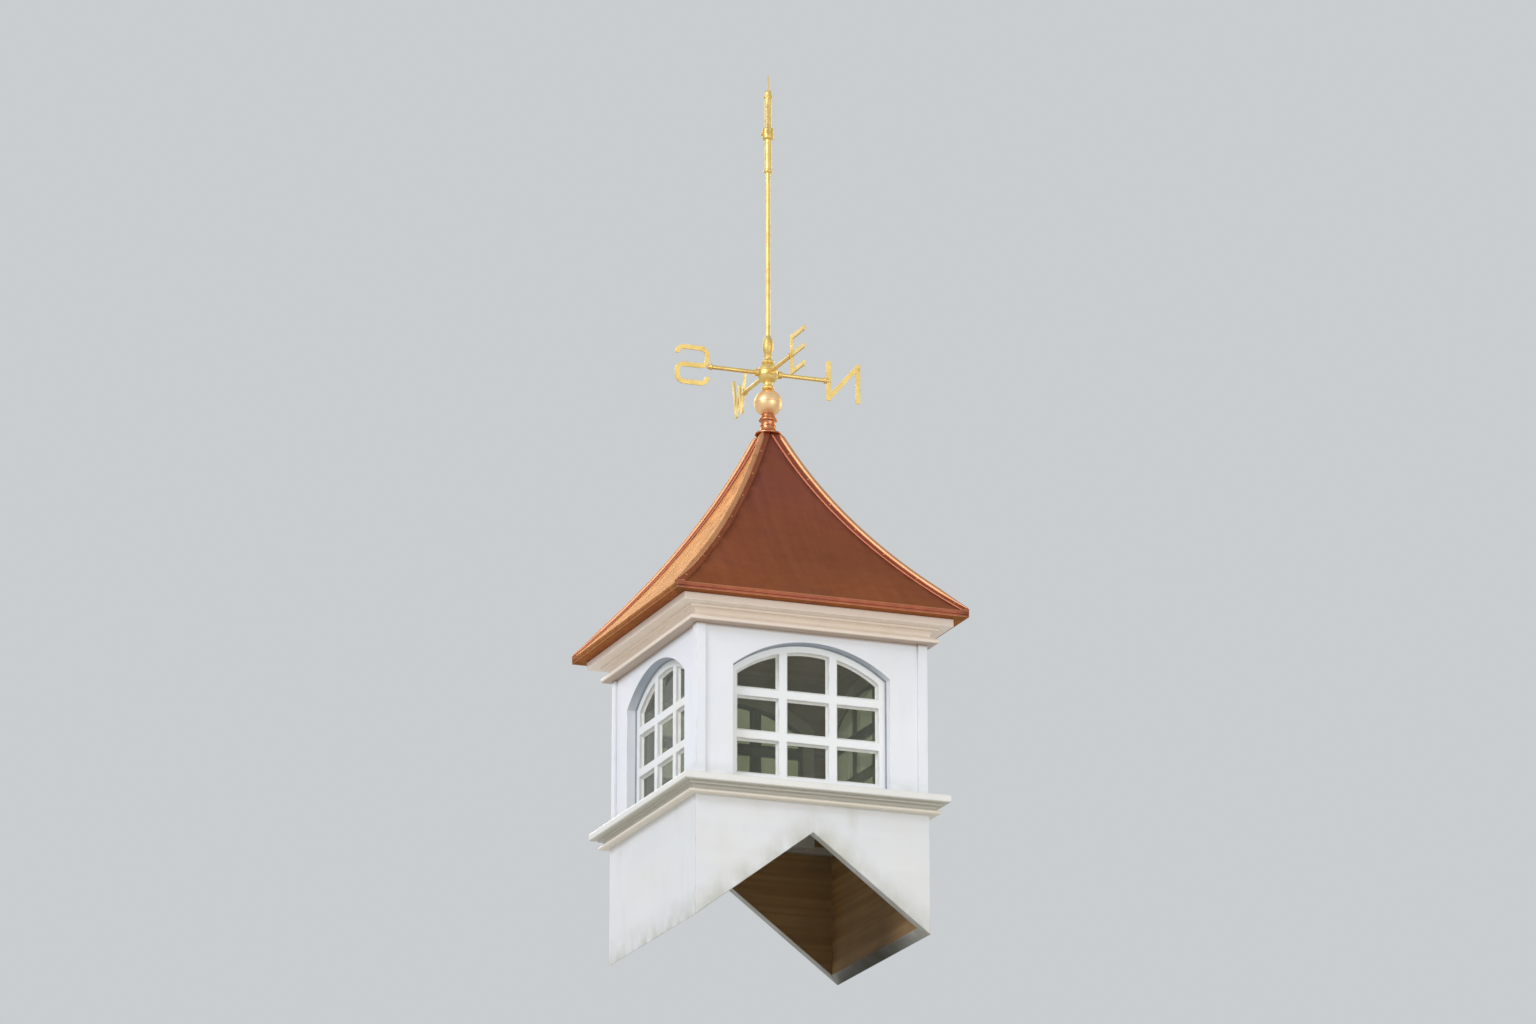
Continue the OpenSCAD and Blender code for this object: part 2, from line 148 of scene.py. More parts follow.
# Matt paper: it takes the shadow near the object and fades to the backdrop's own tone far off
paper = bpy.data.materials.new("Matt_studio_paper")
paper.use_nodes = True
paper.node_tree.nodes.clear()
rays = add(paper, "LightPath").outputs
seen = add(paper, "Math", {0: rays["Is Camera Ray"], 1: rays["Is Glossy Ray"]}, operation="MAXIMUM")
reach = add(paper, "VectorMath", {0: add(paper, "TexCoord").outputs["Object"]}, operation="LENGTH")
far = add(paper, "MapRange", {"Value": reach.outputs["Value"], "From Min": floor_fades_from,
                              "From Max": floor_fades_to})
far = add(paper, "Math", {0: far.outputs[0], 1: seen.outputs[0]}, operation="MULTIPLY")
matt = add(paper, "BsdfDiffuse", {"Color": colour(floor_hex)})
glow = add(paper, "Emission", {"Color": colour(backdrop_hex), "Strength": 1.0})
near = add(paper, "MixShader", {0: far.outputs[0], 1: matt.outputs[0], 2: glow.outputs[0]})
clear = add(paper, "BsdfTransparent")
under = add(paper, "NewGeometry").outputs["Backfacing"]
sheet = add(paper, "MixShader", {0: under, 1: near.outputs[0], 2: clear.outputs[0]})
add(paper, "OutputMaterial", {0: sheet.outputs[0]})
floor.data.materials.append(paper)

# Saddle base
# Four pine boards, 26 mm thick, glued and screwed at mitred corners and cut to sit over a roof
# ridge. They are primed and brush-painted outside, and left bare inside.
mm = 0.001
same_point = 0.01 * mm
sides = {"front": 0, "right": 90, "rear": 180, "left": 270}
base_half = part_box("saddle_board_front")[1].x
base_inner = 290 * mm
base_ease = 1.6 * mm
notch_top = 234.75 * mm
roof_slope = 9 / 12
stain_rise = 75 * mm
stain_full = 2 * mm


def eased(node, ease, steps=2, crease=30, only=None):
    """A CAD part as one merged mesh in bmesh, with its sharp edges rounded and marked, for wear and for a
    painted highlight.
    """
    bm = bmesh.new()
    bm.from_mesh(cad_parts[node].data)
    bmesh.ops.remove_doubles(bm, verts=bm.verts, dist=same_point)
    bmesh.ops.dissolve_limit(bm, angle_limit=math.radians(0.3), verts=bm.verts, edges=bm.edges)
    worn = bm.faces.layers.float.new("worn")
    sharp = [edge for edge in bm.edges if edge.calc_face_angle(0) > math.radians(crease)]
    if only:
        sharp = [edge for edge in sharp if only(edge)]
    if ease:
        rounded = bmesh.ops.bevel(bm, geom=sharp, offset=ease, segments=steps, profile=0.5, affect="EDGES",
                                  clamp_overlap=True, material=-1)["faces"]
        for face in rounded:
            face[worn] = 1
        bmesh.ops.dissolve_degenerate(bm, dist=0.03 * mm, edges=bm.edges)
    return bm


def finished(bm, name, turn=0, crease=32, shift=0.0):
    """The object of a bmesh, smooth over its curves, with its points kept as they lie on the front side.

    Those points carry the patterns, so the grain follows each board. The shift, in metres, gives
    each board a grain of its own.
    """
    bm.normal_update()
    worn = bm.faces.layers.float.get("worn")
    for face in bm.faces:
        face.smooth = True
    for edge in bm.edges:
        flat = edge.calc_face_angle(0) < math.radians(crease)
        same = worn is None or len({face[worn] > 0.5 for face in edge.link_faces}) == 1
        edge.smooth = flat and same
    laid = bm.verts.layers.float_vector.new("laid")
    back = Matrix.Rotation(-math.radians(turn), 3, "Z")
    for vertex in bm.verts:
        vertex[laid] = back @ vertex.co + Vector((shift, 0, 0))
    thing = bpy.data.objects.new(name, bpy.data.meshes.new(name))
    bm.to_mesh(thing.data)
    bm.free()
    bpy.context.scene.collection.objects.link(thing)
    return thing


def fitted(thing, slot, *skins, body="cupola", node=None):
    """Gives a piece its materials and its body, and takes the CAD part's place; its slot is not used."""
    for skin in skins:
        thing.data.materials.append(skin)
    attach(thing, body)
    if node:
        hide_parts(node)


def surface(name, base, rough, **sockets):
    """A material with its base colour, roughness and other values, and the points its patterns lie on."""
    skin = bpy.data.materials.new(name)
    skin.use_nodes = True
    shader = skin.node_tree.nodes["Principled BSDF"]
    shader.inputs["Base Color"].default_value = colour(base)
    shader.inputs["Roughness"].default_value = rough
    for key, value in sockets.items():
        shader.inputs[key.replace("_", " ")].default_value = value
    return skin, add(skin, "Attribute", attribute_name="laid").outputs["Vector"]


def drive(skin, name, node):
    """Lets a node drive a socket of the material's shader."""
    skin.node_tree.links.new(node.outputs[0], skin.node_tree.nodes["Principled BSDF"].inputs[name])


def marks(skin, place, size, low, high, detail=3.0):
    """A mask of uneven marks of a real size in millimetres along each axis, fading in from low to high."""
    sized = add(skin, "Mapping", {"Vector": place, "Scale": [1000 / s for s in size]})
    cloud = add(skin, "TexNoise", {"Vector": sized.outputs[0], "Scale": 1.0, "Detail": detail})
    faded = add(skin, "MapRange", {"Value": cloud.outputs[0], "From Min": low, "From Max": high})
    return faded.outputs[0]


def over(skin, mask, code, share=1.0, within=1.0):
    """Lays a second colour over the base colour so far, as thick as the mask says, within a second mask."""
    socket = skin.node_tree.nodes["Principled BSDF"].inputs["Base Color"]
    below = socket.links[0].from_socket if socket.is_linked else list(socket.default_value)
    both = add(skin, "Math", {0: mask, 1: within}, operation="MULTIPLY")
    thin = add(skin, "Math", {0: both.outputs[0], 1: share}, operation="MULTIPLY")
    both = add(skin, "Mix", {0: thin.outputs[0], 6: below, 7: colour(code)}, data_type="RGBA")
    skin.node_tree.links.new(both.outputs[2], socket)


def brushed_paint(name, paint, cool, warm, rough=0.42, brushing=1.0):
    """Two coats of exterior paint, brushed along the board, in a paint with a cooler and a warmer cast."""
    skin, laid = surface(name, paint, rough)
    worn = add(skin, "Attribute", attribute_name="worn").outputs["Fac"]
    # Brush marks are a millimetre apart on the real board, and are drawn 7 mm apart so that they show
    brush = marks(skin, laid, (260, 7, 7), 0.25, 0.75)
    grain = marks(skin, laid, (620, 24, 24), 0.3, 0.7)
    over(skin, marks(skin, laid, (420, 300, 300), 0.42, 0.68, 2), cool, 0.5)
    over(skin, marks(skin, laid, (300, 340, 260), 0.52, 0.74, 2), warm, 0.5)
    over(skin, brush, warm, 0.1 * brushing)
    over(skin, worn, "#b9b4a6", 0.55, within=marks(skin, laid, (40, 40, 40), 0.45, 0.7))
    drive(skin, "Roughness", add(skin, "MapRange", {"Value": grain, "To Min": rough - 0.07 * brushing,
                                                    "To Max": rough + 0.12 * brushing}))
    height = add(skin, "Math", {0: brush, 1: grain}, operation="ADD")
    drive(skin, "Normal", add(skin, "Bump", {"Height": height.outputs[0], "Strength": 0.14 * brushing,
                                             "Distance": 0.4 * mm}))
    return skin, laid


# Satin white exterior paint, cool in the shade, thinner on the edges and stained where it meets the roof
base_paint, laid = brushed_paint("Brushed_paint_on_pine_base", "#dfe1e3", "#d5dade", "#dedbd1")
spot = add(base_paint, "SeparateXYZ", {0: add(base_paint, "TexCoord").outputs["Object"]}).outputs
across = add(base_paint, "Math", {0: spot["X"]}, operation="ABSOLUTE").outputs[0]
roof_line = add(base_paint, "Math", {0: across, 1: roof_slope, 2: spot["Z"]}, operation="MULTIPLY_ADD")
over_roof = add(base_paint, "Math", {0: roof_line.outputs[0], 1: notch_top}, operation="SUBTRACT").outputs[0]
stain = add(base_paint, "MapRange", {"Value": over_roof, "From Min": stain_rise, "From Max": stain_full})
over(base_paint, stain.outputs[0], "#a8a892", 0.55, within=marks(base_paint, laid, (46, 46, 70), 0.3, 0.62))
# Rain has washed the dirt down in soft runs, four to eight centimetres apart
runs = marks(base_paint, laid, (44, 44, 240), 0.5, 0.74)
over(base_paint, runs, "#c3c3b8", 0.4, within=marks(base_paint, laid, (120, 120, 160), 0.38, 0.66))

# Bare pine: pale straw wood with darker rings along the board, gone grey-brown with dust
bare_pine, laid = surface("Bare_sawn_pine", "#c6a271", 0.72)
rings = marks(bare_pine, laid, (700, 16, 16), 0.38, 0.62)
over(bare_pine, rings, "#9a7345", 0.55)
over(bare_pine, marks(bare_pine, laid, (160, 160, 160), 0.4, 0.7), "#8d7a61", 0.4)
drive(bare_pine, "Normal", add(bare_pine, "Bump", {"Height": rings, "Strength": 0.3, "Distance": 0.8 * mm}))


def bare_inside(thing, turn, depth):
    """Gives the faces that look inwards, no further out than depth, the second material."""
    inward = Matrix.Rotation(math.radians(turn), 3, "Z") @ Vector((0, 1, 0))
    for polygon in thing.data.polygons:
        if polygon.normal.dot(inward) > 0.9 and -polygon.center.dot(inward) < depth:
            polygon.material_index = 1


for number, (side, turn) in enumerate(sides.items()):
    node = ("saddle_board_" if side in ("front", "rear") else "side_board_") + side
    board = finished(eased(node, base_ease), "base_board_" + side, turn, shift=number * 1.7)
    fitted(board, "painted_base", base_paint, bare_pine, node=node)
    bare_inside(board, turn, base_inner)

# The screws at the corners are sunk, and their plugs stand just proud under the paint
plug_r = 5 * mm
plug_top_r = 4.3 * mm
plug_t = 0.8 * mm
plug_proud = 0.2 * mm
plug_from_corner = 13 * mm
plug_heights = (70, 150, 235, 292)
for number, (side, turn) in enumerate(sides.items()):
    bm = bmesh.new()
    for end in (-1, 1):
        for height in plug_heights:
            place = Vector((end * (base_half - plug_from_corner), -base_half + plug_proud, height * mm))
            stand = Matrix.Translation(place) @ Matrix.Rotation(math.radians(90), 4, "X")
            bmesh.ops.create_cone(bm, cap_ends=True, segments=20, radius1=plug_r, radius2=plug_top_r,
                                  depth=plug_t, matrix=stand)
    bmesh.ops.rotate(bm, verts=bm.verts, matrix=Matrix.Rotation(math.radians(turn), 3, "Z"))
    plugs = finished(bm, "screw_plugs_" + side, turn, shift=number * 0.9)
    fitted(plugs, "painted_base", base_paint)

# Sill
# A rounded pine sill board, mitred round the base, over a small bed moulding of a hollow and a
# bead. Both are run on a moulding plane, nailed on, and painted a warmer trim white.
sill_ease = 0.5 * mm
bead_middle = 314.5 * mm
bead_top = 318 * mm
# Heights over which the painted shade in the hollow under the sill board fades in
hollow_shade_full = 333 * mm
hollow_shade_top = 336 * mm

# Satin exterior paint in a warm trim white, with a soft light along the rounded edge and few brush marks
sill_paint, laid = brushed_paint("Brushed_paint_on_pine_sill", "#e4e3de", "#dcdeda", "#e0d6c5", 0.4, 0.3)
over(sill_paint, marks(sill_paint, laid, (60, 60, 200), 0.55, 0.76), "#c6c2b4", 0.25)
# Painted shade darkens the hollow, and the bead below it is painted cream as warm light reflected up onto it
height = add(sill_paint, "SeparateXYZ", {0: add(sill_paint, "TexCoord").outputs["Object"]}).outputs["Z"]
hollow = add(sill_paint, "MapRange", {"Value": height, "From Min": bead_middle, "From Max": bead_top})
under_board = add(sill_paint, "MapRange", {"Value": height, "From Min": hollow_shade_top, "From Max": hollow_shade_full})
bead = add(sill_paint, "MapRange", {"Value": height, "From Min": bead_top, "From Max": bead_middle})
over(sill_paint, bead.outputs[0], "#e2d6c2", 0.7)
over(sill_paint, hollow.outputs[0], "#b3b0a2", 0.75, within=under_board.outputs[0])
for number, (side, turn) in enumerate(sides.items()):
    sill = finished(eased("sill_" + side, sill_ease), "sill_board_" + side, turn, shift=number * 1.9)
    fitted(sill, "painted_trim", sill_paint, node="sill_" + side)

# Window box
# Four smooth wall boards with an arched opening each, mitred at the corners, and a thin corner
# board planted over each mitre. They carry the same brushed paint in a cooler white.
corners = ("front_right", "rear_right", "rear_left", "front_left")
wall_inner = 285 * mm
wall_ease = 1.2 * mm
strip_ease = 1.4 * mm
stain_top = 400 * mm
stain_foot = 352 * mm
# Heights over which the painted shade in the arch's soffit fades in
arch_shade_from = 625 * mm
arch_shade_full = 700 * mm
# Heights of the painted shadow line under the crown moulding
crown_shadow_line = 740 * mm
crown_shadow_line_full = 746 * mm

# Satin white exterior paint, cooler than the trim: an even sheen, in which the brush shows only close by
wall_paint, laid = brushed_paint("Brushed_paint_on_pine_wall", "#e6e9ee", "#dde3eb", "#e6e4e0", 0.44)
spot = add(wall_paint, "SeparateXYZ", {0: add(wall_paint, "TexCoord").outputs["Object"]}).outputs
foot = add(wall_paint, "MapRange", {"Value": spot["Z"], "From Min": stain_top, "From Max": stain_foot})
over(wall_paint, foot.outputs[0], "#b5b6a8", 0.5, within=marks(wall_paint, laid, (60, 60, 40), 0.35, 0.65))
runs = marks(wall_paint, laid, (38, 38, 260), 0.52, 0.78)
over(wall_paint, runs, "#cdcfcc", 0.3, within=marks(wall_paint, laid, (180, 180, 260), 0.46, 0.7))
# Painted shade: the soffit of the arch, facing down, is painted blue-grey as the shadow that falls in it
facing = add(wall_paint, "SeparateXYZ", {0: add(wall_paint, "NewGeometry").outputs["Normal"]}).outputs["Z"]
shaded_underside = add(wall_paint, "MapRange", {"Value": facing, "From Min": -0.35, "From Max": -0.8}).outputs[0]
high_up = add(wall_paint, "MapRange", {"Value": spot["Z"], "From Min": arch_shade_from, "From Max": arch_shade_full})
over(wall_paint, shaded_underside, "#9aa5b2", 0.85, within=high_up.outputs[0])
# Painted shadow: a brown line on the wall right under the crown moulding, as the shade under its bead
shadow_under_crown = add(wall_paint, "MapRange", {"Value": spot["Z"], "From Min": crown_shadow_line, "From Max": crown_shadow_line_full})
over(wall_paint, shadow_under_crown.outputs[0], "#9c8471", 0.75)
for number, (side, turn) in enumerate(sides.items()):
    wall = finished(eased("wall_panel_" + side, wall_ease), "wall_board_" + side, turn, shift=number * 2.1)
    fitted(wall, "painted_wall", wall_paint, bare_pine, node="wall_panel_" + side)
    bare_inside(wall, turn, wall_inner)
for number, corner in enumerate(corners):
    strip = eased("corner_board_" + corner, strip_ease)
    strip = finished(strip, "corner_strip_" + corner, number * 90, shift=number * 1.3)
    fitted(strip, "painted_wall", wall_paint, node="corner_board_" + corner)

# Windows
# Wooden sashes with an arched head and chamfered bars that part nine lights, screwed in from
# behind. One sheet of glass lies behind the bars, and putty seals it round each light.
sash_ease = 2.2 * mm
sash_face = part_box("window_sash_front")[0].y
glass_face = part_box("window_glass_front")[0].y
opening_half = 210 * mm
opening_foot = 360.75 * mm
arch_foot = 649.75 * mm
arch_rise = 74 * mm
opening_arch = (opening_half ** 2 + arch_rise ** 2) / (2 * arch_rise)
arch_middle = arch_foot + arch_rise - opening_arch
sash_show = 20 * mm
light_arch = opening_arch - sash_show
bar_w = 22 * mm
light_w = (2 * (opening_half - sash_show) - 2 * bar_w) / 3
light_h = 88 * mm
light_foot = opening_foot + sash_show
putty_w = 5 * mm
sealant_r = 3.6 * mm
head_steps = 24

# Semi-gloss white paint, smoother than the walls', so that a crisp light lies along each bar
sash_paint = brushed_paint("Brushed_paint_on_pine_sash", "#e8ebec", "#dde3e6", "#e4e0d6", 0.38)[0]

# Float glass, clear with a faint green body, through which the windows on the other sides show.
# Olive patches on it are partly a thin film of dust and partly a painted yellow-green reflection.
window_glass, laid = surface("Float_glass", "#c3c8b2", 0.0, Transmission_Weight=0.95, IOR=1.52)
over(window_glass, marks(window_glass, laid, (80, 80, 100), 0.38, 0.68, 2), "#a9ab86", 0.6)

# Linseed putty under paint: slightly yellower and softer than the wood round it
putty, laid = surface("Painted_linseed_putty", "#e3e4df", 0.5)
lumps = marks(putty, laid, (14, 14, 14), 0.3, 0.7)
over(putty, lumps, "#c6c3b6", 0.45)
drive(putty, "Normal", add(putty, "Bump", {"Height": lumps, "Strength": 0.3, "Distance": 0.5 * mm}))

# Sealant painted blue-grey as a painted shade of the reveal: a dull line that draws the arch
sealant_in_painted_shade, laid = surface("Sealant_painted_grey_as_shade", "#8b949e", 0.62)
pulls = marks(sealant_in_painted_shade, laid, (16, 16, 16), 0.3, 0.7)
over(sealant_in_painted_shade, marks(sealant_in_painted_shade, laid, (70, 70, 70), 0.42, 0.68), "#a9adb0", 0.6)
over(sealant_in_painted_shade, pulls, "#7b838b", 0.4)
drive(sealant_in_painted_shade, "Normal", add(sealant_in_painted_shade, "Bump", {"Height": pulls, "Strength": 0.4,
                                                       "Distance": 0.5 * mm}))


def putty_beads(turn):
    """Three-cornered beads of putty round the nine lights of one window."""
    bm = bmesh.new()
    for column in (-1, 0, 1):
        for row in (0, 1, 2):
            up = light_foot + light_h / 2 + row * (light_h + bar_w)
            stand = Matrix.Translation((column * (light_w + bar_w), glass_face, up))
            stand = stand @ Matrix.Rotation(math.radians(90), 4, "X")
            stand = stand @ Matrix.Diagonal((light_w / 2, light_h / 2, 1, 1))
            points = bmesh.ops.create_grid(bm, x_segments=8, y_segments=1, size=1, matrix=stand)["verts"]
            if row == 2:
                for vertex in points:
                    if vertex.co.z > up:
                        vertex.co.z = arch_middle + math.sqrt(light_arch ** 2 - vertex.co.x ** 2)
            strips = list({face for vertex in points for face in vertex.link_faces})
            light = bmesh.ops.dissolve_faces(bm, faces=strips)["region"]
            rim = bmesh.ops.inset_region(bm, faces=light, thickness=putty_w, use_even_offset=True,
                                         use_boundary=True)["faces"]
            inner = [vertex.co.copy() for face in light for vertex in face.verts]
            bmesh.ops.delete(bm, geom=light, context="FACES")
            raised = bmesh.ops.extrude_face_region(bm, geom=rim)["geom"]
            for vertex in [part for part in raised if isinstance(part, bmesh.types.BMVert)]:
                if not any((vertex.co - point).length < 0.1 * mm for point in inner):
                    vertex.co.y -= putty_w
    bmesh.ops.remove_doubles(bm, verts=bm.verts, dist=0.05 * mm)
    bmesh.ops.recalc_face_normals(bm, faces=bm.faces)
    bmesh.ops.rotate(bm, verts=bm.verts, matrix=Matrix.Rotation(math.radians(turn), 3, "Z"))
    return bm


def as_mesh(form):
    """The mesh of a round curve, closed at its ends."""
    bm = bmesh.new()
    bm.from_mesh(form.to_mesh())
    bpy.data.objects.remove(form)
    bmesh.ops.remove_doubles(bm, verts=bm.verts, dist=same_point)
    bmesh.ops.recalc_face_normals(bm, faces=bm.faces)
    return bm


def sealant(turn):
    """One round bead where the sash meets the wall, half sunk in both, once round the opening."""
    line = bpy.data.curves.new("sealant", "CURVE")
    line.dimensions = "3D"
    line.bevel_depth = sealant_r
    line.bevel_resolution = 2
    head = [opening_half * (1 - 2 * step / head_steps) for step in range(head_steps + 1)]
    outline = [(-opening_half, opening_foot), (opening_half, opening_foot)]
    outline += [(x, arch_middle + math.sqrt(opening_arch ** 2 - x ** 2)) for x in head]
    path = line.splines.new("POLY")
    path.points.add(len(outline) - 1)
    path.use_cyclic_u = True
    spin = Matrix.Rotation(math.radians(turn), 3, "Z")
    for point, (x, z) in zip(path.points, outline):
        point.co = (*(spin @ Vector((x, sash_face, z))), 1)
    form = bpy.data.objects.new("sealant", line)
    bpy.context.scene.collection.objects.link(form)
    return as_mesh(form)


for number, (side, turn) in enumerate(sides.items()):
    bead = finished(sealant(turn), "window_sealant_" + side, turn, shift=number * 0.6)
    fitted(bead, "painted_sash", sealant_in_painted_shade)
    sash = finished(eased("window_sash_" + side, sash_ease), "sash_" + side, turn, shift=number * 2.3)
    fitted(sash, "painted_sash", sash_paint, node="window_sash_" + side)
    pane = finished(eased("window_glass_" + side, 0), "glass_sheet_" + side, turn, shift=number * 1.1)
    fitted(pane, "window_glass", window_glass, node="window_glass_" + side)
    beads = finished(putty_beads(turn), "glazing_putty_" + side, turn, shift=number * 1.4)
    fitted(beads, "painted_sash", putty)

# Crown moulding and roof deck
# A run moulding of fillet, deep hollow and bead is nailed up under the overhanging roof boards,
# whose edges and underside carry the same paint, a warm cream.
crown_ease = 0.5 * mm
deck_ease = 1.5 * mm
# Heights of the painted shadow on the downward faces of the crown's bead
crown_shade_to = 752 * mm
crown_shade_full = 749 * mm
room_half = -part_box("wall_panel_front")[1].y

# Satin exterior paint in a warm cream: soft lines of light along each fillet and bead, hardly a brush mark
# The cream is warm paint, and partly a painted warm light bounced up from below onto the trim
trim_paint, laid = brushed_paint("Brushed_paint_on_pine_trim", "#ede0d2", "#e7dccf", "#e8d6c2", 0.4, 0.3)
over(trim_paint, marks(trim_paint, laid, (60, 60, 200), 0.55, 0.76), "#cbbfa9", 0.2)
# The painted shadow under the crown lies on the downward faces of its bead too
height = add(trim_paint, "SeparateXYZ", {0: add(trim_paint, "TexCoord").outputs["Object"]}).outputs["Z"]
facing = add(trim_paint, "SeparateXYZ", {0: add(trim_paint, "NewGeometry").outputs["Normal"]}).outputs["Z"]
shaded_underside = add(trim_paint, "MapRange", {"Value": facing, "From Min": -0.35, "From Max": -0.8}).outputs[0]
lowest = add(trim_paint, "MapRange", {"Value": height, "From Min": crown_shade_to, "From Max": crown_shade_full})
over(trim_paint, shaded_underside, "#9c8471", 0.75, within=lowest.outputs[0])
for number, (side, turn) in enumerate(sides.items()):
    crown = finished(eased("crown_" + side, crown_ease), "crown_moulding_" + side, turn, shift=number * 2.7)
    fitted(crown, "painted_trim", trim_paint, node="crown_" + side)

# The same trim paint, which stops where the walls carry the deck: inside, the boards are bare
# Its cream, as on the crown, is partly a painted warm bounced light
deck_paint, laid = brushed_paint("Brushed_paint_on_pine_roof_boards", "#ede0d2", "#e7dccf", "#e8d6c2",
                                 0.42, 0.3)
spot = add(deck_paint, "SeparateXYZ", {0: add(deck_paint, "TexCoord").outputs["Object"]}).outputs
across = add(deck_paint, "Math", {0: spot["X"]}, operation="ABSOLUTE").outputs[0]
deep = add(deck_paint, "Math", {0: spot["Y"]}, operation="ABSOLUTE").outputs[0]
furthest = add(deck_paint, "Math", {0: across, 1: deep}, operation="MAXIMUM").outputs[0]
in_room = add(deck_paint, "Math", {0: furthest, 1: room_half}, operation="LESS_THAN").outputs[0]
over(deck_paint, in_room, "#c6a271")
over(deck_paint, in_room, "#9a7345", 0.55, within=marks(deck_paint, laid, (700, 18, 18), 0.38, 0.62))
deck = finished(eased("roof_deck", deck_ease), "roof_boards")
fitted(deck, "painted_trim", deck_paint, node="roof_deck")

# Copper roof
# Four sheets of rolled copper, bent to a hollow curve, mitred on the hips, and folded down and
# under at the eave over a hem. They have weathered to a dull red-brown with purple-brown blooms.
eave_half = cad_box[1].x
fold_ease = 1.2 * mm
hem_height = 814 * mm
hem_line = 0.8 * mm
hem_depth = 1.04 * mm
purple_from = 1020 * mm
purple_full = 1300 * mm
dirt_reach = 40 * mm
dirt_full = 22 * mm

# Weathered rolled copper: a dull metal, red-brown face on, and pale orange where light glances off it
sheet_copper, laid = surface("Weathered_rolled_copper", "#9d5942", 0.46, Metallic=0.86,
                             Specular_Tint=colour("#ffdc9c"), Coat_Weight=0.06, Coat_Roughness=0.4)
worn = add(sheet_copper, "Attribute", attribute_name="worn").outputs["Fac"]
spot = add(sheet_copper, "SeparateXYZ", {0: add(sheet_copper, "TexCoord").outputs["Object"]}).outputs
over(sheet_copper, marks(sheet_copper, laid, (260, 200, 280), 0.36, 0.68, 4), "#844a39", 0.6)
over(sheet_copper, marks(sheet_copper, laid, (170, 130, 180), 0.54, 0.74, 4), "#8a504c", 0.55)
# Near the top the film of oxide is thicker, and turns the copper faintly purple
high_up = add(sheet_copper, "MapRange", {"Value": spot["Z"], "From Min": purple_from,
                                         "From Max": purple_full}).outputs[0]
over(sheet_copper, high_up, "#8a4a50", 0.5, within=marks(sheet_copper, laid, (150, 120, 170), 0.3, 0.6))
# Rain runs down the slope in streaks a few centimetres wide
over(sheet_copper, marks(sheet_copper, laid, (24, 420, 420), 0.46, 0.78), "#b26e4e", 0.25)
over(sheet_copper, marks(sheet_copper, laid, (13, 300, 300), 0.55, 0.8), "#6d3d30", 0.22)
mottle = marks(sheet_copper, laid, (34, 28, 34), 0.36, 0.7, 4)
over(sheet_copper, mottle, "#774435", 0.16)
# Dirt lies along the edges of the hip flashings
across = add(sheet_copper, "Math", {0: spot["X"]}, operation="ABSOLUTE").outputs[0]
deep = add(sheet_copper, "Math", {0: spot["Y"]}, operation="ABSOLUTE").outputs[0]
from_hip = add(sheet_copper, "Math", {0: across, 1: deep}, operation="SUBTRACT").outputs[0]
from_hip = add(sheet_copper, "Math", {0: from_hip}, operation="ABSOLUTE").outputs[0]
dirt = add(sheet_copper, "MapRange", {"Value": from_hip, "From Min": dirt_reach, "From Max": dirt_full})
over(sheet_copper, dirt.outputs[0], "#4e2a20", 0.5, within=marks(sheet_copper, laid, (40, 40, 40), 0.3, 0.6))
# Painted highlight: the rounded folds of the drip edge are painted pale copper, as light along them
over(sheet_copper, worn, "#c88a64", 0.8)
drive(sheet_copper, "Roughness", add(sheet_copper, "MapRange", {"Value": mottle, "To Min": 0.42,
                                                                "To Max": 0.54}))
# The sheet is not quite flat: shallow waves two hand-widths long catch the light unevenly
waves = marks(sheet_copper, laid, (210, 150, 180), 0.0, 1.0, 1)
waves = add(sheet_copper, "Bump", {"Height": waves, "Strength": 0.5, "Distance": 5 * mm})
drive(sheet_copper, "Normal", add(sheet_copper, "Bump", {"Height": mottle, "Strength": 0.05,
                                                         "Distance": 0.5 * mm, "Normal": waves.outputs[0]}))


def at_eave(vertex):
    """True for a point on the outer face of the drip edge."""
    return max(abs(vertex.co.x), abs(vertex.co.y)) > eave_half - 0.5 * mm


def on_drip(edge):
    """True for the long fold lines of the drip edge."""
    return all(at_eave(vertex) for vertex in edge.verts)


def hemmed(bm):
    """Presses a fine line into the drip edge, where the sheet is folded back on itself."""
    for rise in (-hem_line, 0, hem_line):
        everything = bm.verts[:] + bm.edges[:] + bm.faces[:]
        bmesh.ops.bisect_plane(bm, geom=everything, plane_co=(0, 0, hem_height + rise), plane_no=(0, 0, 1))
    line = [vertex for vertex in bm.verts if abs(vertex.co.z - hem_height) < 0.1 * mm and at_eave(vertex)]
    inwards = 1 - hem_depth / eave_half
    bmesh.ops.scale(bm, vec=(inwards, inwards, 1), verts=line)
    return bm


for number, (side, turn) in enumerate(sides.items()):
    sheet = hemmed(eased("copper_panel_" + side, fold_ease, 3, only=on_drip))
    panel = finished(sheet, "copper_sheet_" + side, turn, shift=number * 1.6)
    fitted(panel, "copper_sheet", sheet_copper, node="copper_panel_" + side)

# Hip flashings
# Folded copper strips that cap the four hips and follow the hollow of the roof, nailed down on
# both slopes, each with a round roll soldered along its ridge. The rolls are rubbed bright.
bend_foot = 823.75 * mm
cap_half = 19 * mm
eave_edge = Vector((eave_half, bend_foot))
cap_edge = Vector((cap_half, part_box("copper_panel_front")[1].z))
hollow_depth = 35 * mm
chord = cap_edge - eave_edge
outwards = Vector((chord.y, -chord.x)).normalized()
hollow_r = chord.length_squared / (8 * hollow_depth) + hollow_depth / 2
hollow_middle = (eave_edge + cap_edge) / 2 + (hollow_r - hollow_depth) * outwards
flashing_t = 4 * mm
flashing_ease = 1.4 * mm
roll_r = 7.5 * mm
roll_sunk = 1.5 * mm
roll_steps = 48
roll_from_eave = 8 * mm
roll_from_cap = 4 * mm
nail_r = 2.6 * mm
nail_rise = 1.1 * mm
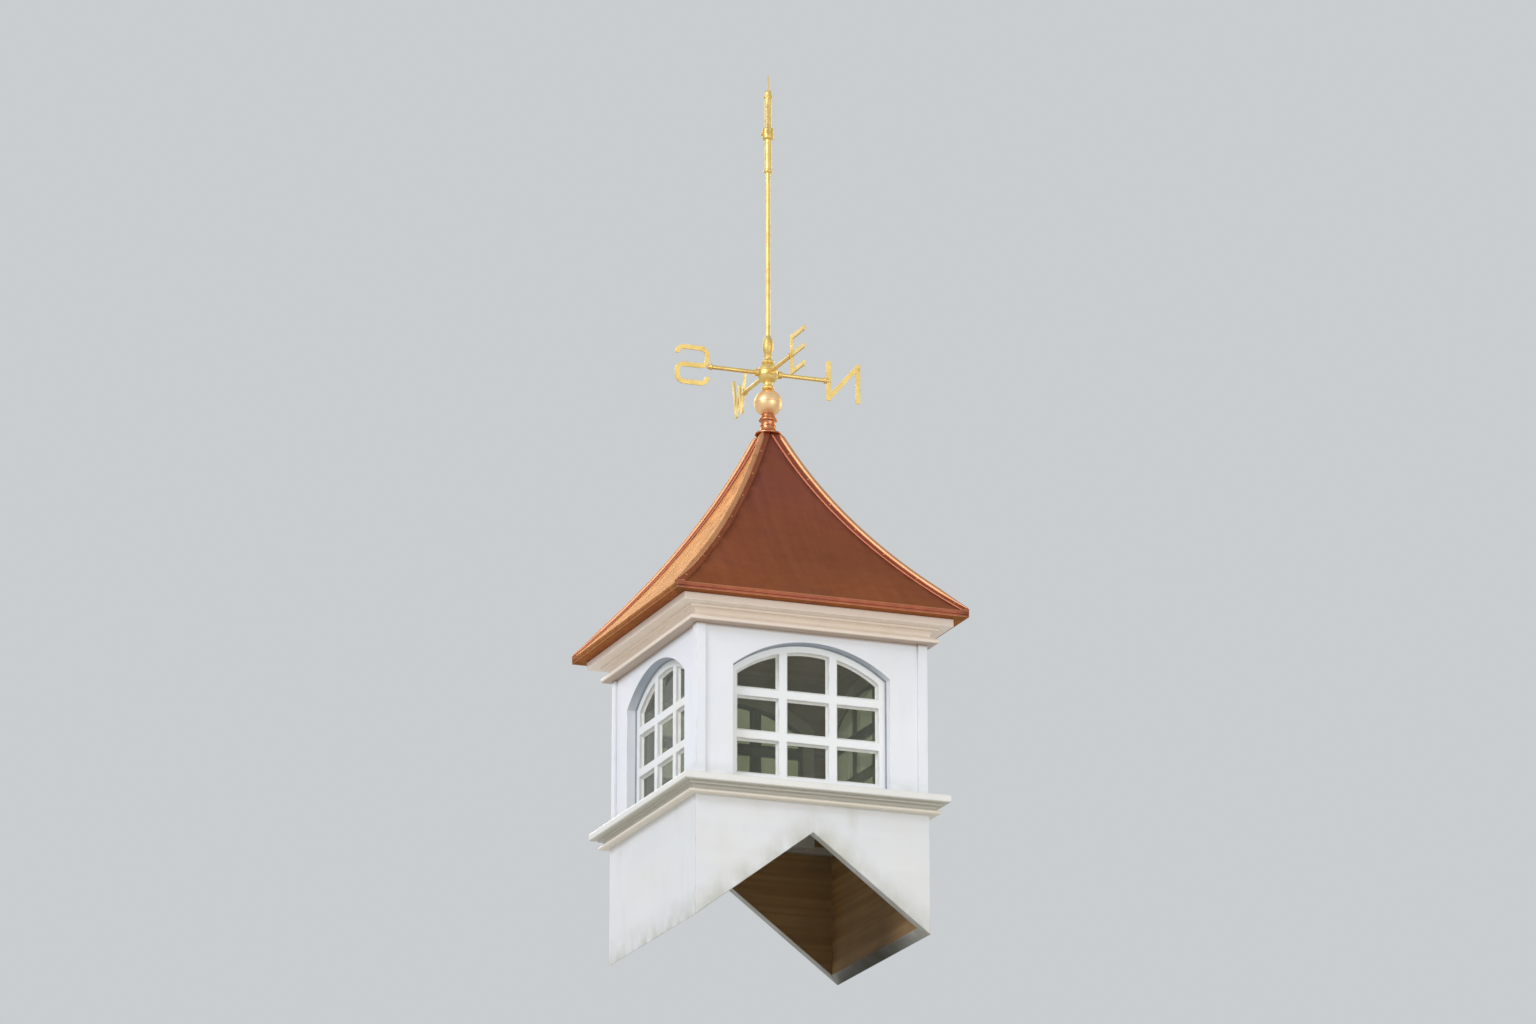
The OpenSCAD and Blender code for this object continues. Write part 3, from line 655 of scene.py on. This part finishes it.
nail_from_ridge = 12 * mm
nail_lowest = 848 * mm
nail_pitch = 75 * mm
nail_count = 7

# Bright folded copper: cleaner and pinker than the sheets, with a broad metal sheen
hip_copper, laid = surface("Bright_folded_copper", "#a0604a", 0.5, Metallic=0.95,
                           Specular_Tint=colour("#ffd0a8"))
worn = add(hip_copper, "Attribute", attribute_name="worn").outputs["Fac"]
over(hip_copper, marks(hip_copper, laid, (70, 70, 110), 0.46, 0.72, 4), "#8a4e3a", 0.6)
over(hip_copper, marks(hip_copper, laid, (36, 36, 36), 0.6, 0.76, 4), "#b97a58", 0.4)
# Dirt and tarnish keep to the folded edges
over(hip_copper, worn, "#7a4735", 0.7)
buckles = marks(hip_copper, laid, (40, 40, 60), 0.2, 0.8)
drive(hip_copper, "Normal", add(hip_copper, "Bump", {"Height": buckles, "Strength": 0.2, "Distance": 1 * mm}))

# The rubbed copper of the rolls and nail heads: paler, and smoother to the eye
roll_copper, laid = surface("Rubbed_copper_roll", "#d9a37a", 0.5, Metallic=1.0,
                            Specular_Tint=colour("#ffdcb8"))
over(roll_copper, marks(roll_copper, laid, (50, 50, 90), 0.46, 0.74, 4), "#c58a62", 0.55)
over(roll_copper, marks(roll_copper, laid, (24, 24, 24), 0.62, 0.78, 4), "#a3694b", 0.5)
dents = marks(roll_copper, laid, (30, 30, 30), 0.2, 0.8, 1)
drive(roll_copper, "Normal", add(roll_copper, "Bump", {"Height": dents, "Strength": 0.25,
                                                       "Distance": 0.8 * mm}))


def hip_reach(height):
    """How far the top of a hip flashing stands out from the axis, along each of its two sides."""
    return hollow_middle.x - math.sqrt((hollow_r - flashing_t) ** 2 - (height - hollow_middle.y) ** 2)


def hip_roll(turn):
    """A round roll of copper along the ridge of a hip flashing, with rounded ends."""
    line = bpy.data.curves.new("hip_roll", "CURVE")
    line.dimensions = "3D"
    line.bevel_depth = roll_r
    line.bevel_resolution = 4
    line.use_fill_caps = True
    path = line.splines.new("POLY")
    path.points.add(roll_steps)
    low = eave_edge.y + roll_from_eave
    high = cap_edge.y - roll_from_cap
    spin = Matrix.Rotation(math.radians(turn), 3, "Z")
    for step, point in enumerate(path.points):
        height = low + (high - low) * step / roll_steps
        reach = hip_reach(height) - roll_sunk / math.sqrt(2)
        point.co = (*(spin @ Vector((reach, -reach, height))), 1)
        # The roll swells over its first steps and narrows over its last
        point.radius = min(1, 0.3 + 0.14 * step, 0.5 + 0.5 * (roll_steps - step))
    form = bpy.data.objects.new("hip_roll", line)
    bpy.context.scene.collection.objects.link(form)
    return as_mesh(form)


def dome(bm, place, outward, radius, rise):
    """Adds the low round head of a nail or rivet, sunk to its middle in the surface."""
    stand = Vector(outward).to_track_quat("Z", "Y").to_matrix().to_4x4()
    shape = Matrix.Translation(place) @ stand @ Matrix.Diagonal((radius, radius, rise, 1))
    bmesh.ops.create_uvsphere(bm, u_segments=18, v_segments=8, radius=1, matrix=shape)


def hip_nails(turn):
    """The nails of one hip, along the flange on each slope."""
    bm = bmesh.new()
    for step in range(nail_count):
        height = nail_lowest + nail_pitch * step
        reach = hip_reach(height)
        slope = (hollow_middle - Vector((reach, height))).normalized()
        inner = reach - nail_from_ridge
        dome(bm, (inner, -reach, height), (0, -slope.x, slope.y), nail_r, nail_rise)
        dome(bm, (reach, -inner, height), (slope.x, 0, slope.y), nail_r, nail_rise)
    bmesh.ops.rotate(bm, verts=bm.verts, matrix=Matrix.Rotation(math.radians(turn), 3, "Z"))
    return bm


for number, corner in enumerate(corners):
    turn = number * 90
    nails = finished(hip_nails(turn), "hip_nails_" + corner, turn, shift=number * 0.7)
    fitted(nails, "copper_seam", roll_copper)
    hip = eased("hip_seam_" + corner, flashing_ease, 3)
    hip = finished(hip, "hip_flashing_" + corner, turn, shift=number * 1.2)
    fitted(hip, "copper_seam", hip_copper, node="hip_seam_" + corner)
    roll = finished(hip_roll(turn), "hip_roll_" + corner, turn, shift=number * 1.2)
    fitted(roll, "copper_seam", roll_copper)

# Cap and ball
# A spun copper cap with a collar closes the top of the roof. The hollow ball on it is spun in two
# halves that are soldered at the middle. Both are polished, and have only begun to darken.
bore = 6.55
cap_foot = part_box("roof_cap")[0].z / mm
ball_r = 36
ball_middle = sum(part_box("copper_ball"), Vector()).z / 2 / mm
solder_r = ball_r + 0.9
tool_marks = (300, 300, 3)

# Spun copper: a clean red metal with long soft lights round its collars. Tool marks of the spinning
# are finer than a millimetre, and are drawn 3 mm apart so that they show.
cap_copper, laid = surface("Spun_copper", "#d08f68", 0.36, Metallic=1.0, Specular_Tint=colour("#ffd6b0"))
over(cap_copper, marks(cap_copper, laid, (30, 30, 30), 0.46, 0.74, 4), "#a9684a", 0.6)
rings = marks(cap_copper, laid, tool_marks, 0.3, 0.7)
drive(cap_copper, "Normal", add(cap_copper, "Bump", {"Height": rings, "Strength": 0.08,
                                                     "Distance": 0.4 * mm}))

# The ball is polished, and paler for it: a warm peach with a soft bright spot
spun_copper, laid = surface("Spun_polished_copper", "#ffd8a2", 0.4, Metallic=0.82,
                            Specular_Tint=colour("#ffdfb4"))
rings = marks(spun_copper, laid, tool_marks, 0.3, 0.7)
over(spun_copper, marks(spun_copper, laid, (40, 40, 40), 0.5, 0.74, 4), "#dcab7a", 0.4)
over(spun_copper, rings, "#f6d3ad", 0.2)
drive(spun_copper, "Normal", add(spun_copper, "Bump", {"Height": rings, "Strength": 0.08,
                                                       "Distance": 0.4 * mm}))


def arc(middle, radius, start, end, steps=10):
    """Points of a turned profile along an arc, from one angle in degrees to another."""
    angles = [math.radians(start + (end - start) * step / steps) for step in range(steps + 1)]
    return [(middle[0] + radius * math.cos(a), middle[1] + radius * math.sin(a)) for a in angles]


def turned(profile, foot, steps=72):
    """A closed profile of radius and height in millimetres over its foot, spun round the axis."""
    bm = bmesh.new()
    points = [bm.verts.new((radius * mm, 0, (foot + height) * mm)) for radius, height in profile]
    lines = [bm.edges.new(pair) for pair in zip(points, points[1:] + points[:1])]
    bmesh.ops.spin(bm, geom=points + lines, cent=(0, 0, 0), axis=(0, 0, 1), angle=math.tau, steps=steps,
                   use_merge=True)
    bmesh.ops.remove_doubles(bm, verts=bm.verts, dist=same_point)
    bmesh.ops.delete(bm, geom=[e for e in bm.edges if not e.link_faces], context="EDGES")
    bmesh.ops.recalc_face_normals(bm, faces=bm.faces)
    return bm


brim = [(bore, 0), (33.6, 0)] + arc((33.6, 0.9), 0.9, -90, 0, 3) + arc((33.6, 3.1), 0.9, 0, 90, 3)
hollow = arc((34.5, 19.5), 15.5, -100, -176, 14)
fillet = [(19, 22), (20.6, 23), (20.6, 25), (19, 26), (19, 34)]
collar = arc((19, 40), 5, -80, 80, 14) + [(19, 46), (18, 53), (bore, 51)]
cap = finished(turned(brim + hollow + fillet + collar, cap_foot), "copper_cap", crease=40)
fitted(cap, "copper_seam", cap_copper, node="roof_cap")
solder = [(solder_r, -0.8), (solder_r, 0.8)]
globe = arc((0, 0), ball_r, -79, -2, 30) + solder + arc((0, 0), ball_r, 2, 79, 30)
ball = finished(turned(globe, ball_middle, 96), "copper_globe", crease=40)
fitted(ball, "copper_ball", spun_copper, node="copper_ball")

# Spire and compass
# A brass rod rises from the roof deck through the ball. A turned hub on it carries four arms with
# letters sawn from brass plate, brazed on behind small collars, and a long bead closes the hub.
rod_r = 6.35
rod_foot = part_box("spire_rod")[0].z / mm
rod_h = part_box("spire_rod")[1].z / mm - rod_foot
arms_height = sum(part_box("compass_arms_ns"), Vector()).z / 2 / mm
arms_ease = 0.6 * mm
hub_r = 28
bead_r = 14
bead_half_h = 26
long_bead_middle = sum(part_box("brass_bead"), Vector()).z / 2 / mm

# Satin yellow brass, drawn and sawn: a soft golden shine, and brown patches where it has tarnished
brass, laid = surface("Satin_yellow_brass", "#f0d488", 0.5, Metallic=1.0)
worn = add(brass, "Attribute", attribute_name="worn").outputs["Fac"]
over(brass, marks(brass, laid, (60, 60, 60), 0.46, 0.72, 4), "#d2b066", 0.55)
over(brass, marks(brass, laid, (20, 20, 20), 0.56, 0.74, 4), "#9c7a40", 0.4)
over(brass, worn, "#f8e2a0", 0.5)
dull = marks(brass, laid, (40, 40, 40), 0.35, 0.7)
drive(brass, "Roughness", add(brass, "MapRange", {"Value": dull, "To Min": 0.42, "To Max": 0.6}))
# Sawn plate and drawn rod are never quite even, and the light wanders over them
uneven = marks(brass, laid, (45, 45, 45), 0.1, 0.9, 1)
drive(brass, "Normal", add(brass, "Bump", {"Height": uneven, "Strength": 0.4, "Distance": 1.2 * mm}))

rod = finished(turned([(0, 0), (rod_r, 0), (rod_r, rod_h), (0, rod_h)], rod_foot, 48), "brass_spire_rod")
fitted(rod, "brass", brass, node="spire_rod")

lower_neck = [(bore, -45), (11, -45)] + arc((12, -39), 5, -80, 80, 12) + [(12, -33), (11.4, -31), (12, -25.4)]
waist = [(27.6, -6), (26.6, -5), (26.6, 5), (27.6, 6)]
globe = arc((0, 0), hub_r, -63, -16, 12) + waist + arc((0, 0), hub_r, 16, 64, 12)
upper_neck = arc((11.35, 30.5), 5, -80, 80, 12) + [(11.35, 37), (10.2, 38.5), (10.2, 47)]
hub_top = [(11.35, 48.5), (11.35, 50), (bore, 50)]
hub = finished(turned(lower_neck + globe + upper_neck + hub_top, arms_height), "turned_hub", crease=40)
fitted(hub, "brass", brass, node="compass_hub")

swell = bead_r - bore
bead_arc = (swell ** 2 + bead_half_h ** 2) / (2 * swell)
half_turn = math.degrees(math.asin(bead_half_h / bead_arc))
side_middle = (bead_r - bead_arc, 0)
lower = arc(side_middle, bead_arc, -half_turn, -3, 16)
upper = arc(side_middle, bead_arc, 3, half_turn, 16)
bead = finished(turned(lower + [(13.4, 0)] + upper, long_bead_middle), "turned_bead", crease=40)
fitted(bead, "brass", brass, node="brass_bead")

for pair in ("ns", "ew"):
    arms = finished(eased("compass_arms_" + pair, arms_ease), "arms_and_letters_" + pair)
    fitted(arms, "brass", brass, node="compass_arms_" + pair)

# Brazed collars where each arm meets its letter: the direction of the arm, and how far out it is
collar_profile = [(5.3, -4)] + arc((5.3, 0), 3.4, -90, 90, 10) + [(5.3, 4)]
bm = bmesh.new()
for direction, reach in ((0, 158), (180, 158), (270, 158), (90, 166)):
    collar = turned(collar_profile, reach, 32)
    stand = Matrix.Translation((0, 0, arms_height * mm)) @ Matrix.Rotation(math.radians(direction), 4, "Z")
    bmesh.ops.transform(collar, matrix=stand @ Matrix.Rotation(math.radians(90), 4, "Y"), verts=collar.verts)
    made = bpy.data.meshes.new("collar")
    collar.to_mesh(made)
    collar.free()
    bm.from_mesh(made)
    bpy.data.meshes.remove(made)
fitted(finished(bm, "brazed_collars"), "brass", brass)

# A hexagon-headed screw grips the rod behind the neck of the hub
hub_screw = (8, 8, arms_height + 43)
screw_r = 4.2 * mm
screw_rise = 4.5 * mm
screw_ease = 0.5 * mm


def hexagon_screw(place, outward):
    """The hexagonal head of a small set screw, with its corners taken off."""
    bm = bmesh.new()
    stand = Vector(outward).to_track_quat("Z", "Y").to_matrix().to_4x4()
    stand = Matrix.Translation(Vector(place) * mm) @ stand @ Matrix.Translation((0, 0, screw_rise / 2))
    bmesh.ops.create_cone(bm, cap_ends=True, segments=6, radius1=screw_r, radius2=screw_r, depth=screw_rise,
                          matrix=stand)
    bmesh.ops.bevel(bm, geom=bm.edges[:], offset=screw_ease, segments=2, profile=0.5, affect="EDGES",
                    material=-1)
    return bm


fitted(finished(hexagon_screw(hub_screw, (1, 1, 0)), "hub_screw"), "brass", brass)

# Vane
# A brass sleeve hangs on the tip of the rod and turns on it. The arrow through its boss has a flat
# head and a slotted tail, sawn from plate.
arrow_turn = math.radians(69)
arrow_height = sum(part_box("vane_arrow"), Vector()).z / 2
along = Vector((math.cos(arrow_turn), math.sin(arrow_turn), 0))
beside = Vector((-along.y, along.x, 0))
shaft_r = 5 * mm
boss_r = 15
rivet_reaches = (212, 188, -140, -205)
rivet_r = 2.8 * mm
rivet_rise = 1.4 * mm
for node, ease in (("vane_sleeve", 0), ("vane_arrow", arms_ease)):
    thing = finished(eased(node, ease), "moving_" + node)
    fitted(thing, "brass", brass, body="vane", node=node)

# Rivets go through the shaft and both plates, and a set screw holds the shaft in its boss
bm = bmesh.new()
for reach in rivet_reaches:
    for face in (-1, 1):
        place = along * reach * mm + beside * face * shaft_r + Vector((0, 0, arrow_height))
        dome(bm, place, beside * face, rivet_r, rivet_rise)
fitted(finished(bm, "moving_arrow_rivets"), "brass", brass, body="vane")
boss_screw = beside * (boss_r - 1) + Vector((0, 0, arrow_height / mm))
fitted(finished(hexagon_screw(boss_screw, beside), "moving_boss_screw"), "brass", brass, body="vane")
